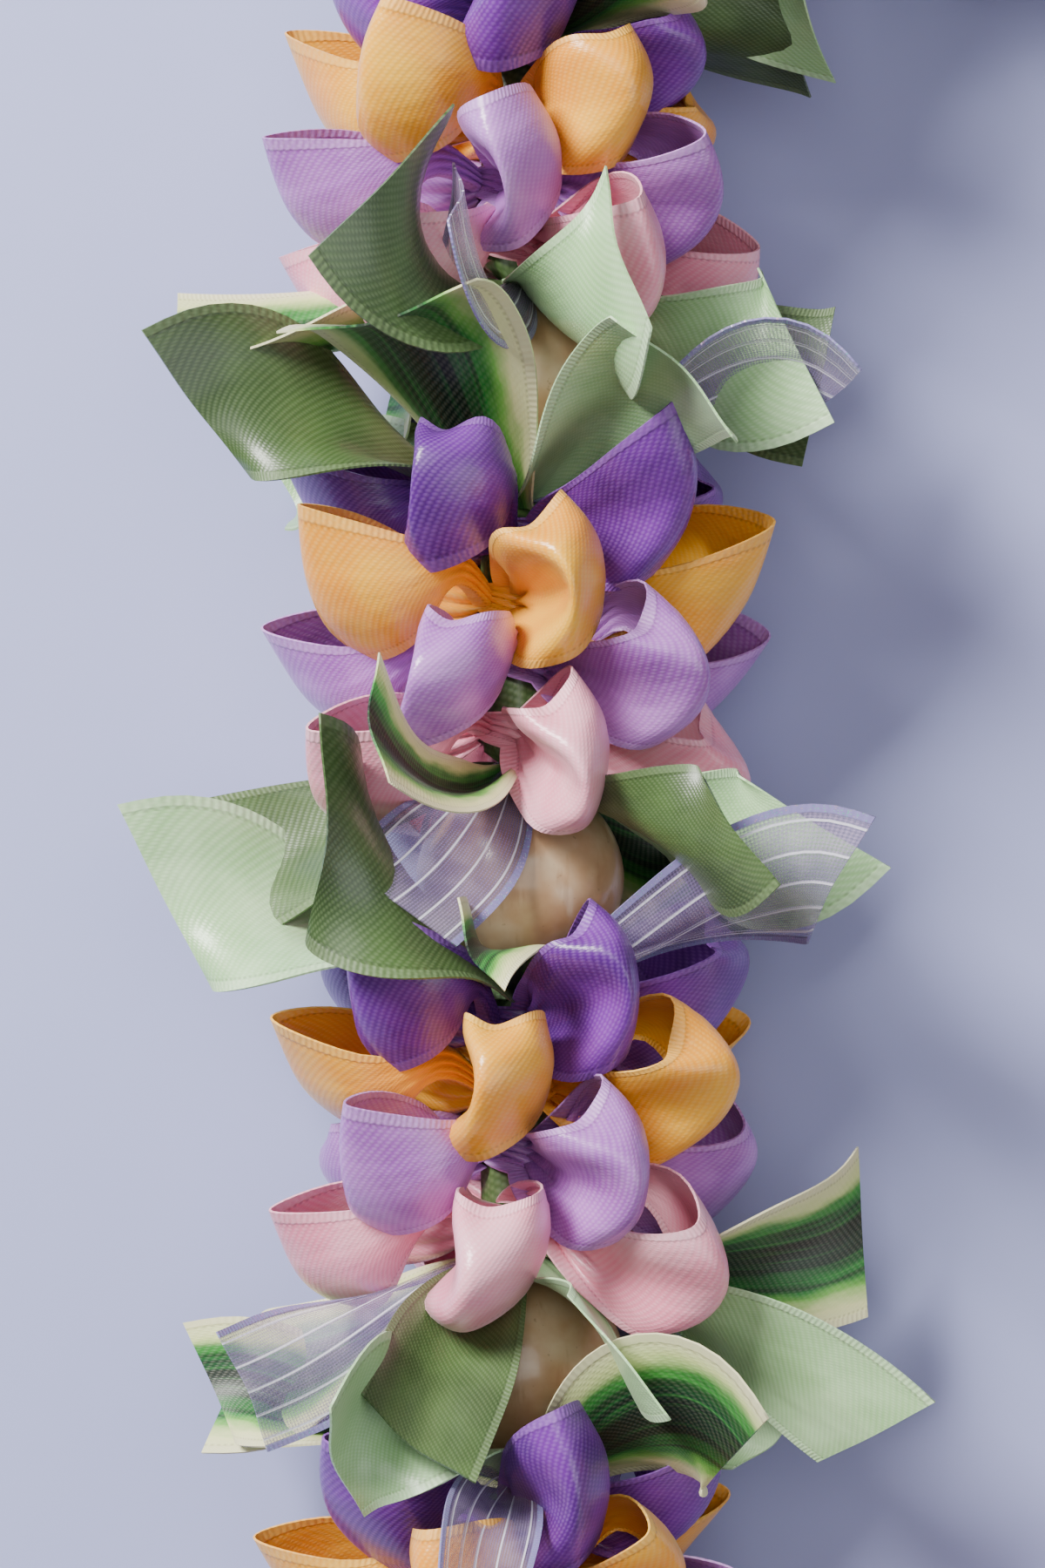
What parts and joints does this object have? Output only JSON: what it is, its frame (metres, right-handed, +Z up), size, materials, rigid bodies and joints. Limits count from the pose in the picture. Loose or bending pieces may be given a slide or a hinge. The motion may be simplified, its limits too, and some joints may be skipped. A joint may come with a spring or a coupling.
{
  "type": "ribbon lei",
  "caption": "Closed lei of folded satin ribbon blooms with ribbon leaf sprays and polished kukui nuts between them, threaded on one cord and laid in a long loop.",
  "frame": {"origin": "middle of the lei on the surface it lies on", "axes": "+Y along the loop, +X across it, +Z up from the surface"},
  "size_m": [0.2374, 0.4178, 0.0769],
  "materials": {
    "purple_satin": "purple satin ribbon",
    "gold_satin": "gold satin ribbon",
    "lilac_satin": "lilac satin ribbon, with a row of pink",
    "leaf_ribbon": "moss, pale green and leaf-print satin ribbon and sheer organza",
    "nut": "polished pale tan nut shell",
    "cord": "plain cotton cord"
  },
  "bodies": {
    "root": {"cord": "cord", "petals_purple_01": "purple_satin", "petals_gold_01": "gold_satin", "petals_lilac_pink_01": "lilac_satin", "leaves_01": "leaf_ribbon", "petals_purple_02": "purple_satin", "petals_gold_02": "gold_satin", "petals_lilac_pink_02": "lilac_satin", "leaves_02": "leaf_ribbon", "petals_purple_03": "purple_satin", "petals_gold_03": "gold_satin", "petals_lilac_pink_03": "lilac_satin", "leaves_03": "leaf_ribbon", "petals_purple_04": "purple_satin", "petals_gold_04": "gold_satin", "petals_lilac_pink_04": "lilac_satin", "leaves_04": "leaf_ribbon", "petals_purple_05": "purple_satin", "petals_gold_05": "gold_satin", "petals_lilac_pink_05": "lilac_satin", "leaves_05": "leaf_ribbon", "petals_purple_06": "purple_satin", "petals_gold_06": "gold_satin", "petals_lilac_pink_06": "lilac_satin", "leaves_06": "leaf_ribbon", "petals_purple_07": "purple_satin", "petals_gold_07": "gold_satin", "petals_lilac_pink_07": "lilac_satin", "leaves_07": "leaf_ribbon", "petals_purple_08": "purple_satin", "petals_gold_08": "gold_satin", "petals_lilac_pink_08": "lilac_satin", "leaves_08": "leaf_ribbon", "petals_purple_09": "purple_satin", "petals_gold_09": "gold_satin", "petals_lilac_pink_09": "lilac_satin", "leaves_09": "leaf_ribbon", "petals_purple_10": "purple_satin", "petals_gold_10": "gold_satin", "petals_lilac_pink_10": "lilac_satin", "leaves_10": "leaf_ribbon", "petals_purple_11": "purple_satin", "petals_gold_11": "gold_satin", "petals_lilac_pink_11": "lilac_satin", "leaves_11": "leaf_ribbon", "petals_purple_12": "purple_satin", "petals_gold_12": "gold_satin", "petals_lilac_pink_12": "lilac_satin", "leaves_12": "leaf_ribbon", "nut_01": "nut", "nut_02": "nut", "nut_03": "nut", "nut_04": "nut", "nut_05": "nut", "nut_06": "nut", "nut_07": "nut", "nut_08": "nut", "nut_09": "nut", "nut_10": "nut", "nut_11": "nut"}
  },
  "joints": []
}
